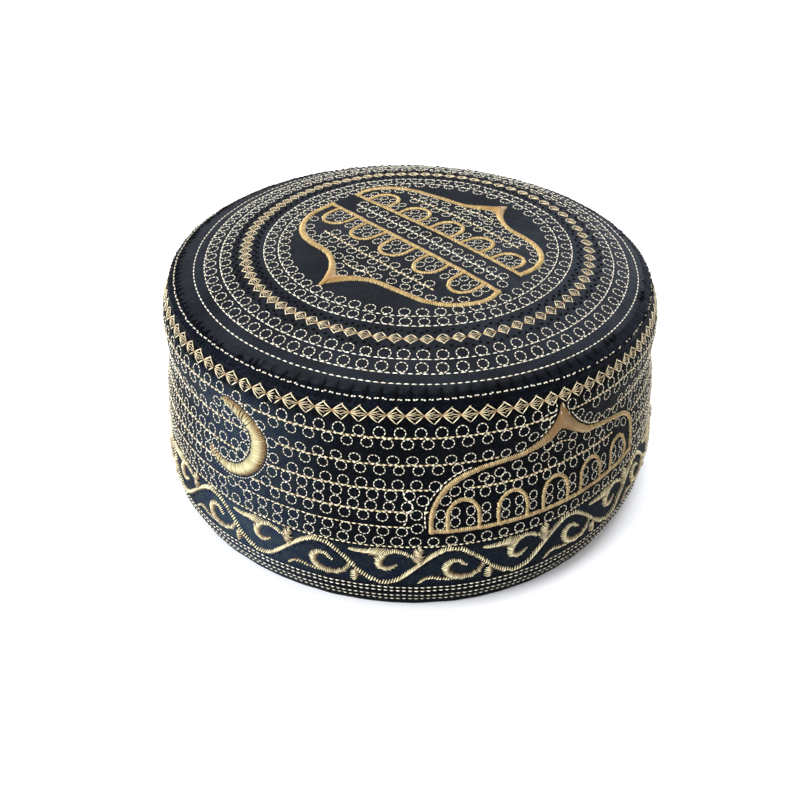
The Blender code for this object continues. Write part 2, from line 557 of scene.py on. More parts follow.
def new_material(name):
    """An empty node material and its tree."""
    material = bpy.data.materials.new(name)
    material.use_nodes = True
    material.node_tree.nodes.clear()
    return material, material.node_tree


def rgba(colour):
    """A colour with full cover."""
    return (*colour[:3], 1.0)


def round_crown(tree, uv):
    """Angle round the cap and distance in from the rim in metres, from the crown's coordinates."""
    x = add(tree, "SeparateXYZ", (uv,))
    angle = add(tree, "Math", (x.node.outputs["Y"], x), operation="ARCTAN2")
    radius = add(tree, "VectorMath", (uv,), "Value", operation="LENGTH")
    return angle, add(tree, "Math", (RIM_RADIUS, radius), operation="SUBTRACT")


def round_band(tree, uv):
    """Angle round the cap and distance in from the rim in metres, from the band's coordinates."""
    x = add(tree, "SeparateXYZ", (uv,))
    per_radian = math.degrees(1) * MM_PER_DEGREE * MM
    angle = add(tree, "Math", (x, per_radian), operation="DIVIDE")
    return angle, add(tree, "Math", (x.node.outputs["Y"], -1.0), operation="MULTIPLY")


def around(tree, angle, middle, reach):
    """A share that is 1 at an angle round the cap and falls to 0 at reach from it, in degrees."""
    away = add(tree, "Math", (angle, math.radians(middle)), operation="SUBTRACT")
    away = add(tree, "Math", (away,), operation="ABSOLUTE")
    return add(tree, "MapRange", (away, math.radians(reach), 0.0), interpolation_type="SMOOTHSTEP")


# Where a cloth shows a painted sheen, as if lit from one side: angle of the middle, reach either
# side, distance down at which it is whole, strength, strength in the strip behind the vine, and
# the tint of its patches
SheenAndNap = namedtuple("SheenAndNap", "middle reach below strength vine tint")
CROWN_SHEEN_AND_NAP = SheenAndNap(-5, 70, -200, 0.32, 0.0, linear("#23406c"))
BAND_SHEEN_AND_NAP = SheenAndNap(-131, 27, 11, 0.5, 0.13, linear("#2f3b52"))
RIM_SHEEN_AND_NAP = SheenAndNap(-155, 75, -200, 0.6, 0.0, linear("#303a4c"))
# Between which distances in from the rim, in metres, the strip behind the vine grows and ends
VINE_FROM = (-54 * MM, -57 * MM)
VINE_TO = (-72 * MM, -69 * MM)
# The same for the bays at the rim, on the crown's side and on the band's
BAYS_FROM = (6.2 * MM, 4.6 * MM)
BAYS_TO = (-2.5 * MM, 0.5 * MM)
# The front of the rim, where the hairs draw its cloth in most: middle and reach, in degrees
RIM_FRONT = (-88, 62)
# The distance between the bands of a diagonal wave of scale 1
WAVE_PITCH = 0.444
# Noise patterns of the cloth, as spots to the metre, detail and roughness: where the sewing pulls
# it, a spot to 4 mm; clouds, 22 mm; flecks of fluff that show as painted glints, 1 mm; and
# patches of its tint, 3 mm
CLOTH_NOISES = ((260, 3, 0.6), (45, 2, 0.5), (950, 2, 0.7), (330, 1, 0.5))
# Fibres of a thread, to the metre: a fifth of a millimetre, coarser than real ones so that they show
FIBRES = 5200


def twill(name, dark, light, cloth, round_cap, specular, sheen_and_nap):
    """Cotton twill, woven: fine diagonal ribs, cloud-like changes of tone where the sewing pulls
    it, sparse flecks of fluff in two tones that show as painted glints, a painted sheen on one side
    as if lit from there, and creases between the bays that the rim's hairs draw in, with painted
    shade in them. The ribs are drawn coarser than the cloth's own 0.4 mm so that they still show."""
    material, tree = new_material(name)
    uv = add(tree, "UVMap", uv_map="cloth")
    wave = {"Vector": uv, "Scale": WAVE_PITCH / (cloth.rib * MM), "Distortion": 0.6, "Detail": 1}
    ribs = add(tree, "TexWave", wave, "Fac", bands_direction="DIAGONAL")
    pulls, clouds, nap_and_sheen, patches = (
        add(tree, "TexNoise", {"Vector": uv, "Scale": scale, "Detail": detail, "Roughness": rough})
        for scale, detail, rough in CLOTH_NOISES
    )
    tone = add(tree, "Math", (ribs, 0.45, clouds), operation="MULTIPLY_ADD")
    share = add(tree, "MapRange", (tone, 0.40, 1.1))
    colour = add(tree, "Mix", {0: share, 6: rgba(dark), 7: rgba(light)}, 2, data_type="RGBA")
    # Flecks of fluff all over, shown as painted glints, more of them behind the vine, and the
    # painted sheen on one side, all mixed to the flecks' colour
    angle, inward = round_cap(tree, uv)
    painted_sheen = around(tree, angle, sheen_and_nap.middle, sheen_and_nap.reach)
    low = add(tree, "MapRange", (inward, -0.4 * sheen_and_nap.below * MM, -sheen_and_nap.below * MM))
    ribbed = add(tree, "MapRange", (ribs, 0.0, 1.0, 0.1 * sheen_and_nap.strength, 1.25 * sheen_and_nap.strength))
    for factor in (low, ribbed):
        painted_sheen = add(tree, "Math", (painted_sheen, factor), operation="MULTIPLY")
    vine_strip = add(tree, "MapRange", (inward, *VINE_FROM, 0.0, sheen_and_nap.vine))
    above_hem = add(tree, "MapRange", (inward, *VINE_TO))
    vine_strip = add(tree, "Math", (vine_strip, above_hem), operation="MULTIPLY")
    specks_and_sheen = add(tree, "MapRange", (nap_and_sheen, 0.58, 0.80, 0.0, 0.5))
    specks_and_sheen = add(tree, "Math", (specks_and_sheen, vine_strip), operation="ADD")
    specks_and_sheen = add(tree, "Math", (specks_and_sheen, painted_sheen), operation="ADD", use_clamp=True)
    tinted = add(tree, "MapRange", (patches, 0.42, 0.6))
    tints = {0: tinted, 6: rgba(cloth.nap_and_sheen), 7: rgba(sheen_and_nap.tint)}
    nap_and_sheen = add(tree, "Mix", tints, 2, data_type="RGBA")
    colour = add(tree, "Mix", {0: specks_and_sheen, 6: colour, 7: nap_and_sheen}, 2, data_type="RGBA")
    # The bays at the rim, with painted shade darkening the fold between each two
    phase = add(tree, "Math", (angle, BAYS / 2), operation="MULTIPLY")
    swell = add(tree, "Math", (phase,), operation="SINE")
    swell = add(tree, "Math", (swell,), operation="ABSOLUTE")
    at_rim = add(tree, "MapRange", (inward, *BAYS_FROM))
    on_top = add(tree, "MapRange", (inward, *BAYS_TO))
    front = add(tree, "MapRange", (around(tree, angle, *RIM_FRONT), 0.0, 1.0, 0.25))
    for factor in (on_top, front):
        at_rim = add(tree, "Math", (at_rim, factor), operation="MULTIPLY")
    crease_shade = add(tree, "MapRange", (swell, 0.75, 0.0, 0.35, 0.95))
    crease_shade = add(tree, "Math", (crease_shade, at_rim), operation="MULTIPLY")
    shadow = rgba(linear("#040708"))
    colour = add(tree, "Mix", {0: crease_shade, 6: colour, 7: shadow}, 2, data_type="RGBA")
    bay = add(tree, "Math", (swell, at_rim), operation="MULTIPLY")
    normal = add(tree, "Bump", {"Height": ribs, "Strength": 0.5, "Distance": 0.14 * MM})
    for height, strength, depth in ((pulls, 0.5, 0.6 * MM), (bay, 0.8, 0.7 * MM)):
        bump = {"Height": height, "Strength": strength, "Distance": depth, "Normal": normal}
        normal = add(tree, "Bump", bump)
    surface = {
        "Base Color": colour,
        "Roughness": add(tree, "MapRange", (pulls, 0.3, 0.7, 0.46, 0.62)),
        "IOR": 1.47,
        "Specular IOR Level": specular,
        "Anisotropic": 0.8,
        "Anisotropic Rotation": 0.25,
        "Sheen Weight": 0.01,
        "Sheen Roughness": 0.4,
        "Sheen Tint": rgba(cloth.sheen),
        "Normal": normal,
    }
    add(tree, "OutputMaterial", {"Surface": add(tree, "BsdfPrincipled", surface)})
    return material


def thread(name, deep_and_shade, bright, roughness, specular, sheen):
    """Polyester embroidery thread, drawn and twisted: silky, with a painted highlight along the top
    of each stitch and painted shade where it goes into the cloth, and a little different from
    stitch to stitch."""
    material, tree = new_material(name)
    t = add(tree, "Attribute", out="Fac", attribute_name="along")
    tone = add(tree, "Attribute", out="Fac", attribute_name="tone")
    from_middle = add(tree, "Math", (t, 0.5), operation="SUBTRACT")
    from_middle = add(tree, "Math", (from_middle,), operation="ABSOLUTE")
    # A painted highlight on the top of each stitch, going over to painted shade towards its holes
    top = add(tree, "MapRange", (from_middle, 0.5, 0.22))
    share = add(tree, "Math", (top, tone), operation="MULTIPLY")
    colours = {0: share, 6: rgba(deep_and_shade), 7: rgba(bright)}
    place = add(tree, "TexCoord", out="Object")
    fibres = add(tree, "TexNoise", {"Vector": place, "Scale": FIBRES, "Detail": 1})
    surface = {
        "Base Color": add(tree, "Mix", colours, 2, data_type="RGBA"),
        "Roughness": roughness,
        "IOR": 1.55,
        "Specular IOR Level": specular,
        "Sheen Weight": sheen,
        "Normal": add(tree, "Bump", {"Height": fibres, "Strength": 0.35, "Distance": 0.08 * MM}),
    }
    add(tree, "OutputMaterial", {"Surface": add(tree, "BsdfPrincipled", surface)})
    return material


# Sizes and colours that a user would change
def colour_setting(name, what, code):
    """A colour of something, given as sRGB hex."""
    return FloatVectorProperty(
        name=name, description="Colour of " + what, subtype="COLOR", default=linear(code), min=0, max=1
    )


class KufiCloth(bpy.types.PropertyGroup):
    """The cloth of the cap."""

    rib: FloatProperty(
        name="Twill rib", description="Distance between the diagonal ribs as drawn, in millimetres",
        default=0.75, min=0.2, max=2.0,
    )
    crown: colour_setting("Crown", "the crown's cloth", "#050709")
    band: colour_setting("Band", "the band's cloth", "#020304")
    sheen: colour_setting("Sheen", "the soft shine on the cloth", "#6f8498")
    # The colour of the sparse flecks, which show as painted glints, and of the painted sheen on one side
    nap_and_sheen: colour_setting("SheenAndNap", "the sparse specks of nap", "#3c4a52")


class KufiThread(bpy.types.PropertyGroup):
    """The threads of the embroidery."""

    circle: colour_setting("Circles", "circles, dashes and hem rows", "#fffae4")
    line: colour_setting("Lines and diamonds", "lines and diamonds", "#fff2c6")
    satin: colour_setting("Satin", "the wide satin stitches", "#f9dc98")
    black: colour_setting("Black", "the black stitches", "#030305")
    rib: FloatProperty(
        name="Satin spacing", description="Distance between satin stitches as drawn, in millimetres",
        default=0.78, min=0.3, max=1.5,
    )


class KufiStage(bpy.types.PropertyGroup):
    """Floor and light."""

    floor: colour_setting("Floor", "the floor", "#f6f6f6")
    glow: FloatProperty(
        name="Floor glow", description="Strength of the light that comes through the floor",
        default=0.12, min=0, max=1,
    )
    surround: FloatProperty(
        name="Surround", description="Strength of the even light all round", default=0.55,
        min=0, max=5,
    )
    key: FloatProperty(
        name="Key light", description="Power of the large soft light", default=66.0,
        min=0, max=500, subtype="POWER", unit="POWER",
    )


# The plain threads: the setting that colours each, its colour in the holes, which is painted
# shade, roughness, specular level and sheen
THREADS = {
    "ivory": ("circle", "#8a7444", 0.36, 0.5, 0.1),
    "pale_gold": ("line", "#946c2c", 0.34, 0.5, 0.1),
    "black": ("black", "#010101", 0.5, 0.04, 0.0),
}


def plain_thread(context, kind):
    """The ivory thread of circles, dashes and hem rows, the pale gold one of lines and diamonds, or
    the black one of the rim and the small marks, each made once."""
    name = "polyester_thread_" + kind
    setting, deep_and_shade, *surface = THREADS[kind]
    bright = getattr(context.scene.kufi_thread, setting)
    return bpy.data.materials.get(name) or thread(name, linear(deep_and_shade), bright, *surface)


def gold_thread(context, piece, deep_and_shade, shade, shine=0.36):
    """The gold thread of the satin stitches as it looks on one piece: the satin colour, shaded, a copy
    for that piece painted with the light and shade that fall on it.
    """
    bright = [c * s for c, s in zip(context.scene.kufi_thread.satin, shade)]
    return thread("polyester_thread_gold_" + piece, linear(deep_and_shade), bright, 0.36, shine, 0.05)


# The domes of the band and of the crown: outlines as pairs of points, outer edge then inner edge,
# from the left foot round
DOME_OUTLINE = (
    (-45.7, 48.4, -44.1, 48.4), (-45.9, 44.2, -44.3, 44.4), (-45.5, 40.0, -43.9, 40.4),
    (-44.0, 35.6, -42.5, 36.5), (-40.8, 30.6, -39.6, 32.0), (-36.3, 27.2, -35.4, 28.9),
    (-29.4, 24.4, -28.6, 26.1), (-21.3, 23.1, -20.8, 24.8), (-15.6, 22.4, -15.2, 24.3),
    (-12.4, 21.5, -12.0, 23.7), (-9.8, 20.5, -9.4, 23.1), (-7.0, 18.9, -6.5, 22.6),
    (-4.9, 17.0, -4.2, 21.9), (-3.2, 14.8, -2.4, 20.9), (-1.6, 12.4, -0.8, 19.3),
    (-0.5, 10.2, 0.4, 18.1), (0.0, 8.4, 1.0, 17.7), (0.7, 7.0, 1.6, 17.6), (2.1, 9.3, 2.6, 17.9),
    (4.4, 12.6, 4.6, 19.3), (7.6, 16.5, 7.6, 21.4), (10.6, 19.2, 10.6, 23.1), (14.4, 21.8, 14.2, 24.7),
    (19.2, 23.7, 19.0, 25.6), (24.9, 24.8, 24.7, 26.5), (33.2, 26.4, 32.7, 28.0),
    (40.4, 28.5, 39.4, 30.0), (45.0, 32.2, 43.4, 33.2), (46.1, 39.0, 44.3, 39.0),
    (45.8, 48.4, 44.0, 48.4),
)
CROWN_DOME_OUTLINE = (
    (-46.9, 48.6, -44.9, 48.6), (-47.8, 42.0, -46.0, 42.0), (-45.8, 34.0, -43.9, 34.8),
    (-40.8, 27.6, -39.4, 29.2), (-33.6, 23.4, -32.8, 25.2), (-26.1, 21.8, -25.6, 23.9),
    (-18.6, 20.5, -18.2, 22.6), (-14.8, 19.8, -14.2, 21.9), (-11.4, 18.8, -10.9, 21.0),
    (-8.6, 17.2, -8.2, 19.7), (-6.3, 15.2, -5.9, 18.3), (-4.2, 12.2, -3.9, 16.8),
    (-2.7, 9.5, -2.3, 15.4), (-1.6, 7.4, -1.2, 14.4), (-1.1, 4.6, -0.4, 13.8),
    (0.7, 8.1, 0.8, 14.3), (3.3, 12.2, 3.3, 16.6), (6.4, 16.0, 6.5, 19.0), (9.9, 18.7, 10.2, 21.1),
    (14.3, 20.5, 14.3, 22.8), (18.1, 21.0, 18.4, 23.2), (22.7, 20.8, 23.2, 23.2),
    (27.8, 21.3, 28.0, 23.7), (32.6, 22.8, 32.4, 25.3), (37.0, 25.6, 36.4, 28.0),
    (41.0, 30.4, 39.6, 31.8), (44.0, 36.4, 42.3, 37.4), (45.0, 42.0, 43.1, 42.0),
    (45.6, 48.6, 43.6, 48.6),
)
# The middles of their five arches, the line that these stand on, and one arch about its middle
ARCHES = (-34.3, -17.1, 0.0, 17.1, 34.5)
CROWN_ARCHES = (-34.2, -16.5, 1.0, 17.7, 34.4)
BASELINE = 48.0
ARCH = (
    (-5.3, BASELINE), (-5.5, 43.5), (-5.2, 40.1), (-3.9, 37.6), (-2.2, 36.4), (-0.1, 36.0), (2.1, 36.7),
    (3.8, 38.4), (4.9, 41.0), (5.2, 44.5), (5.1, BASELINE),
)
# How close together the stitches of a dome and of a crescent lie, as a share of the satin spacing
DOME_CLOSE = 0.82
CRESCENT_CLOSE = 0.9


def dome_satin(outline, arches, spacing, dim):
    """The satin of one dome: outline, baseline and five arches."""
    base = strip([(-45.4, BASELINE), (0, BASELINE + 0.1), (45.2, BASELINE)], [1.6] * 3)
    parts = [satin(smooth(outline), spacing, 11, thick=0.6, dim=dim), satin(base, spacing, 12)]
    for n, x in enumerate(arches):
        parts.append(satin(strip(np.array(ARCH) + (x, 0), [1.3] * len(ARCH)), spacing, 13 + n))
    return np.concatenate(parts)


# Where a dome's fine stitches lie: its two inner lines, the circles about them and under the
# outline, and how the pairs of circles sit in and between the arches
Fine = namedtuple("Fine", "mid short about under pairs")
BAND_FINE = Fine(
    mid=((-32.3, 32.1), (-16.0, 32.4), (0.0, 32.1), (16.0, 32.4), (31.1, 32.6)),
    short=((-3.8, 25.4), (-1.0, 23.7), (1.0, 23.2), (3.1, 23.6), (6.5, 24.7), (8.5, 25.5)),
    about=(
        *((x, 30.4) for x in (-25.8, -20.1, -14.1, -8.0, -1.6, 5.3, 11.4, 17.8, 24.2)),
        *((x, 34.2) for x in (-32.7, -27.3, -21.8, -15.7, -9.9, -4.1, 2.3, 8.1, 14.5, 20.4, 26.4)),
        (-4.7, 27.1), (1.2, 25.5), (7.5, 27.0),
    ),
    under=(
        (-40.5, 35.8), (-37.4, 32.7), (-32.9, 30.6), (-27.7, 28.8), (-22.1, 28.1), (-15.8, 26.9),
        (-9.7, 25.6), (-3.5, 23.1), (1.8, 20.6), (8.0, 23.9), (15.2, 26.6), (22.2, 28.0),
        (29.4, 29.5), (34.6, 30.5), (39.6, 32.8),
    ),
    pairs=((-3.0, 40.4, 44.5), (2.1, 40.6, 44.8), (7.4, 40.1, 44.2)),
)
CROWN_FINE = Fine(
    mid=((-30.5, 31.2), (-18.0, 31.0), (0.0, 30.9), (16.0, 30.9), (28.4, 30.8)),
    short=((6.6, 22.3), (2.5, 21.2), (-1.8, 21.2), (-5.9, 22.8), (-9.1, 21.7)),
    about=(
        *((x, 29.0) for x in (25.3, 20.1, 14.9, 9.5, 4.2, -1.6, -7.1, -12.9, -19.2, -25.2)),
        *((x, 33.3) for x in (24.3, 19.0, 13.8, 8.0, 2.3, -3.0, -8.6, -14.4, -20.3, -26.2)),
        (6.0, 24.9), (2.0, 23.1), (-2.1, 22.9), (-5.3, 25.0),
    ),
    under=(
        (39.0, 34.2), (34.8, 29.1), (30.4, 26.3), (25.6, 25.3), (20.6, 24.7), (15.2, 24.2), (9.7, 23.1),
        (4.2, 18.8), (-0.5, 16.2), (-4.7, 20.2), (-10.1, 23.2), (-16.1, 24.8), (-21.9, 25.7),
        (-27.6, 25.8), (-33.0, 27.2), (-37.8, 30.4), (-41.4, 34.8),
    ),
    pairs=((-2.2, 40.8, 45.2), (2.2, 40.0, 44.7), (7.9, 40.5, 45.2)),
)


def dome_lines(fine):
    """The two lines inside one dome."""
    mid, short = smooth(fine.mid), smooth(fine.short)
    return np.concatenate([beaded(mid, LINE_PITCH), running(short, 2.0)])


def dome_circles(fine, arches):
    """The circles inside one dome."""
    first = arches[0] - 7.8
    pairs = [(first, 41.1), (first, 45.4)]
    for x in arches:
        # Beyond the last arch there is no room for a pair
        for side, upper, lower in fine.pairs[:2] if x == arches[-1] else fine.pairs:
            pairs += [(x + side, upper), (x + side, lower)]
    way = directions(np.array(fine.under))
    way *= np.sign(way[:, :1])
    tilt = np.arctan2(way[:, 1], way[:, 0])
    under = rings(fine.under, 22, 1.95, 1.65, tilt)
    return np.concatenate([rings(fine.about, 21, 1.75, 1.75), under, rings(pairs, 23, 1.5, 1.85)])


# What stitches show of their thread's colours from start to end, as painted light and shade:
# highlit edges and a shaded middle, shaded at the start and highlit from a third on, shaded at
# the start and highlit from the middle on, and fans highlit towards their tips
EDGED_SPAN = (0.60, 0.94, 0.62)
SHADED_SPAN = (0.0, 0.31, 0.65)
VINE_SPAN = (0.0, 0.25, 0.6)
FAN_SPAN = (0.02, 0.32, 0.62)

# The centre lines of the band's motifs, as distances round it
DOMES = [angle * MM_PER_DEGREE for angle in (-58.7, 85.3, 157.3)]
CRESCENTS = [angle * MM_PER_DEGREE for angle in (-130.7, 13.3)]
# The circles round a dome
DOME_CIRCLES = (
    (-20.3, 20.9), (-15.0, 19.6), (-10.4, 16.8), (-6.1, 13.2), (5.0, 9.0), (9.3, 14.4), (14.5, 18.2),
    (20.1, 21.1), (26.7, 22.6), (32.8, 23.6), (-43.9, 30.5), (-47.9, 35.5), (-49.9, 40.9),
    (-49.6, 46.4), (-3.4, 7.6), (12.6, 8.75), (48.6, 35.5), (49.6, 41.0), (49.2, 46.6), (45.2, 28.6),
)
# White stitches just outside the dome's outline
DOME_EDGE_LINES = (
    ((-2.6, 12.4), (-4.2, 14.4), (-5.8, 16.6), (-7.8, 18.2)),
    ((4.9, 11.8), (8.4, 15.9), (12.6, 19.5), (17.6, 22.4), (22.1, 23.6)),
    (
        (-31.6, 24.2), (-37.0, 26.4), (-41.0, 29.4), (-43.7, 32.6), (-45.8, 35.9), (-47.0, 38.8),
        (-47.2, 42.5), (-46.9, 46.8),
    ),
    (
        (-54.2, 32.0), (-54.0, 34.1), (-52.4, 35.6), (-51.3, 37.2), (-51.4, 38.9), (-52.9, 40.0),
        (-53.1, 43.6), (-54.2, 45.4),
    ),
    ((-10.2, 11.2), (-8.8, 11.1), (-7.0, 10.1), (-4.4, 9.4), (-1.2, 9.2)),
    ((-7.4, 11.3), (-4.6, 11.8), (-2.6, 10.9), (-1.6, 10.2)),
)
# Pale stitches that stand out at the dome's point
DOME_TIPS = ((0.8, 7.2, 1.2, 9.0), (-0.3, 9.7, 0.1, 11.2), (3.6, 11.0, 3.3, 12.4))
# The circles round a crescent, outside it and inside
CRESCENT_CIRCLES = (
    (3.4, 9.3), (8.7, 12.0), (13.0, 16.6), (16.4, 22.8), (17.2, 28.6), (16.7, 33.9), (14.4, 38.4),
    (10.0, 41.9), (4.6, 44.6), (-0.9, 45.6), (-6.3, 15.6), (-1.2, 16.7), (2.2, 20.4), (4.8, 24.8),
    (4.8, 29.3), (3.1, 32.8), (-0.4, 35.0), (-4.6, 35.6), (-9.3, 34.6),
)
# The crescent, outer edge then inner edge, from the upper tip round to the lower
CRESCENT_EDGES = (
    (-3.3, 12.2, -3.0, 13.4), (0.0, 11.3, 0.3, 14.2), (3.4, 11.9, 2.6, 16.1), (7.8, 14.0, 5.0, 18.8),
    (11.4, 17.6, 6.8, 22.0), (13.7, 22.0, 7.7, 25.2), (14.2, 26.4, 7.8, 28.0), (13.4, 31.2, 7.0, 31.2),
    (10.8, 35.9, 5.3, 34.2), (6.4, 39.7, 2.9, 36.5), (1.6, 41.4, 0.0, 37.8), (-3.2, 41.5, -3.2, 38.3),
    (-7.6, 40.1, -6.8, 37.9), (-11.9, 36.9, -11.3, 36.1),
)
# Its horns: from which to which distance down the upper one ends, and left of which x the lower is
UPPER_HORN = (13.0, 20.0)
LOWER_HORN = -5.5
# How far a line and the circles of a row keep from a motif's satin and from the circles round it
LINE_GAPS = (1.0, 1.7)
CIRCLE_GAPS = (1.3, 3.7)


def clear(x, y, satin_gap, circle_gap):
    """Whether points of the band keep clear of the motifs' satin and of the circles round it."""
    free = np.ones(x.shape, bool)
    for places, edges, circles, closed in (
        (DOMES, DOME_OUTLINE, DOME_CIRCLES, True),
        (CRESCENTS, CRESCENT_EDGES, CRESCENT_CIRCLES, False),
    ):
        outer = smooth(edges, 0.8)
        shape = outer[:, :2] if closed else np.concatenate([outer[:, :2], outer[::-1, 2:]])
        for place in places:
            local = wrapped(x - place, ROUND)
            free &= ~inside(shape, local, y)
            free &= distance_to(shape, local, y) > satin_gap
            free &= distance_to(circles, local, y) > circle_gap
    return free


# The band's chart from end to end
ALL_ROUND = np.linspace(-ROUND / 2, ROUND / 2, 600)


def band_line(y, kind):
    """One sewn line round the band, left out where a motif is in its way."""
    rows = kind(np.column_stack([ALL_ROUND, y + 0.10 * np.sin(ALL_ROUND * 0.05 + y)]), LINE_PITCH)
    middle = (rows[:, 0:2] + rows[:, 2:4]) / 2
    return rows[clear(middle[:, 0], middle[:, 1], *LINE_GAPS)]


# The first row of circles starts anew beyond the front dome: from angle, to angle, by how much
ROW_SHIFT = (-52, 85, 1.9)
# Rows of circles on the band: angle between circles, angle of one circle, distance down
CIRCLE_ROWS = (
    (4.046, -113.18, 9.15, ROW_SHIFT), (3.972, -115.32, 13.25), (3.835, -113.5, 20.1), (3.913, -116.64, 24.3),
    (3.705, -115.57, 29.85), (3.713, -117.0, 33.8), (3.64, -113.25, 37.85), (3.851, -111.79, 41.8),
    (3.799, -111.42, 47.8), (3.677, -111.83, 52.1),
)


def circle_row(pitch, phase, y, shift=(0, 0, 0)):
    """Centres of one row of circles round the band, clear of the motifs."""
    count = round(360 / pitch)
    angle = wrapped(phase + pitch * (np.arange(count) - count // 2))
    start, end, by = shift
    x = np.where((angle > start) & (angle < end), angle + by, angle) * MM_PER_DEGREE
    y = np.full(count, y)
    return np.column_stack([x, y])[clear(x, y, *CIRCLE_GAPS)]


# One diamond as stitches from its side points, in halves of its width and height, each with its
# thickness and share of brightness: the outline's four cross at the top and bottom points, and
# the fans' finer ones stop near the middle
DIAMOND = (
    (-1, 0, 0.16, -1.0, 0.39, 1.0), (-1, 0, 0.02, 1.0, 0.39, 1.0), (1, 0, -0.10, -0.95, 0.39, 1.0),
    (1, 0, 0.08, 1.02, 0.39, 1.0), (-1, 0, 0.24, -0.44, 0.27, 0.8), (-1, 0, 0.12, 0.04, 0.27, 0.8),
    (-1, 0, 0.22, 0.50, 0.27, 0.8), (1, 0, -0.16, -0.12, 0.22, 0.5), (1, 0, -0.02, 0.30, 0.22, 0.5),
)


def diamonds(centres, wide, tall, turn=0.0, bright=0.9):
    """Diamonds of fanned stitches about the centres, turned by an angle."""
    draw = np.random.default_rng(5)
    n = len(centres)
    turn = np.broadcast_to(turn, n)

    def point(x, y):
        """A point of each diamond, in halves of its width and height, a little out of place."""
        x = x * wide / 2 + draw.normal(0, 0.06, n)
        y = y * tall / 2 + draw.normal(0, 0.08, n)
        return centres + np.column_stack(
            [x * np.cos(turn) - y * np.sin(turn), x * np.sin(turn) + y * np.cos(turn)]
        )

    return np.concatenate(
        [
            stitches(point(x0, y0), point(x1, y1), thick, bright=bright * share)
            for x0, y0, x1, y1, thick, share in DIAMOND
        ]
    )


# The vine on the band, charted over one of its thirteen repeats from a flower knot
VINE_REPEATS = 13
VINE_PERIOD = ROUND / VINE_REPEATS
# Where each repeat starts, and its curls, tails, drop and flower knot
VINES = [-116.4 * MM_PER_DEGREE + n * VINE_PERIOD for n in range(VINE_REPEATS)]
CURL_UNDER = (
    (21.3, 64.0), (19.6, 66.2), (17.1, 67.6), (14.2, 68.1), (11.6, 67.6), (9.6, 66.4), (8.6, 64.8),
    (8.7, 63.0), (9.8, 61.6), (11.6, 61.0), (13.4, 61.6), (15.3, 63.1),
)
CURL_UNDER_WIDTHS = (1.4, 1.7, 2.0, 2.3, 2.5, 2.7, 2.8, 2.6, 2.1, 1.7, 1.5, 1.2)
TAIL_UNDER = ((10.4, 68.6), (6.9, 67.9), (4.0, 67.4), (1.6, 67.7), (-0.2, 69.0))
CURL_OVER = (
    (42.3, 58.6), (39.4, 57.1), (36.2, 56.4), (33.9, 57.2), (32.3, 58.7), (31.3, 60.4), (31.2, 62.2),
    (32.0, 63.5), (33.6, 63.9), (35.2, 63.4), (37.0, 62.0),
)
CURL_OVER_WIDTHS = (1.4, 1.5, 1.7, 2.3, 2.8, 2.9, 2.5, 2.1, 1.9, 1.6, 1.0)
# Long slanted stitches, as pairs of points from the tail's tip to the curl
TAIL_OVER = (
    (20.8, 57.3, 21.6, 56.6), (23.0, 57.9, 24.2, 56.4), (25.4, 58.2, 27.2, 56.1),
    (28.0, 58.5, 30.4, 55.4), (30.2, 59.2, 33.4, 55.6),
)
DROP = ((23.1, 65.6), (23.1, 66.4), (23.2, 67.5), (23.3, 68.6), (23.3, 69.4))
KNOT = ((0.4, 55.0), (-0.6, 56.4), (0.3, 57.8), (-0.6, 59.2), (0.2, 60.6), (-0.1, 61.6))
# Kinds of the vine's satin: spacing as a share of the setting, fray, thickness, lift, swell and
# dimming. The stem and the tails are open enough to show the cloth between their stitches, and
# the knot lies over the stem
WIDE = (0.94, 0.17, 0.53, 0.18, 0.24, 0.4)
OPEN = (1.2, 0.2, 0.56, 0.18, 0.24, 0.4)
OVER = (0.94, 0.17, 0.53, 0.5, 0.24, 1.5)


def stem(x):
    """Height of the vine's stem on the band, as distance down."""
    return 62.7 - 6.9 * np.cos(2 * math.pi * (x - 10.2) / VINE_PERIOD)


def vine_satin(spacing):
    """The satin of one repeat of the vine."""
    x = np.linspace(0, VINE_PERIOD, 30)
    strips = (
        (OPEN, flipped(strip(np.column_stack([x, stem(x)]), [1.7] * len(x), (0.42, -0.91)))),
        (WIDE, flipped(strip(CURL_UNDER, CURL_UNDER_WIDTHS))),
        (OPEN, flipped(strip(TAIL_UNDER, (0.9, 1.4, 1.4, 1.2, 0.9), (0.5, -0.87)))),
        (WIDE, strip(CURL_OVER, CURL_OVER_WIDTHS)),
        (WIDE, smooth(TAIL_OVER)),
        (WIDE, strip(DROP, (1.9, 2.9, 3.2, 3.0, 1.9), (-0.85, 0.53))),
        (OVER, strip(KNOT, (1.8, 3.4, 3.0, 3.7, 3.0, 1.6))),
    )
    return np.concatenate(
        [satin(edges, spacing * kind[0], 31 + n, *kind[1:]) for n, (kind, edges) in enumerate(strips)]
    )


# The side of the crown where the circles and diamonds of a ring lie closer together
CLOSER_TOWARD = -10
# The crown's rings of circles: radius, and how many, their mean spacing, how much it swings and
# the angle of one of them
CROWN_CIRCLES = (
    (75.6, (76, 4.8, 0.7, -140.6)), (70.2, (73, 5.0, 0.7, -142.3)),
    (54.4, (57, 6.4, 0.9, -149.8)), (49.1, (53, 6.85, 0.95, -160.6)),
)
# Its ring of diamonds and the rings of black dots beside it, in the same way
CROWN_DIAMONDS = (63.2, (79, 4.6, 0.65, -149.9))
CROWN_DOTS = (
    (67.4, (90, 4.0, 0.5, -150)), (58.9, (90, 4.0, 0.5, -150)),
    (66.4, (90, 4.0, 0.5, -148)), (59.9, (90, 4.0, 0.5, -148)),
)


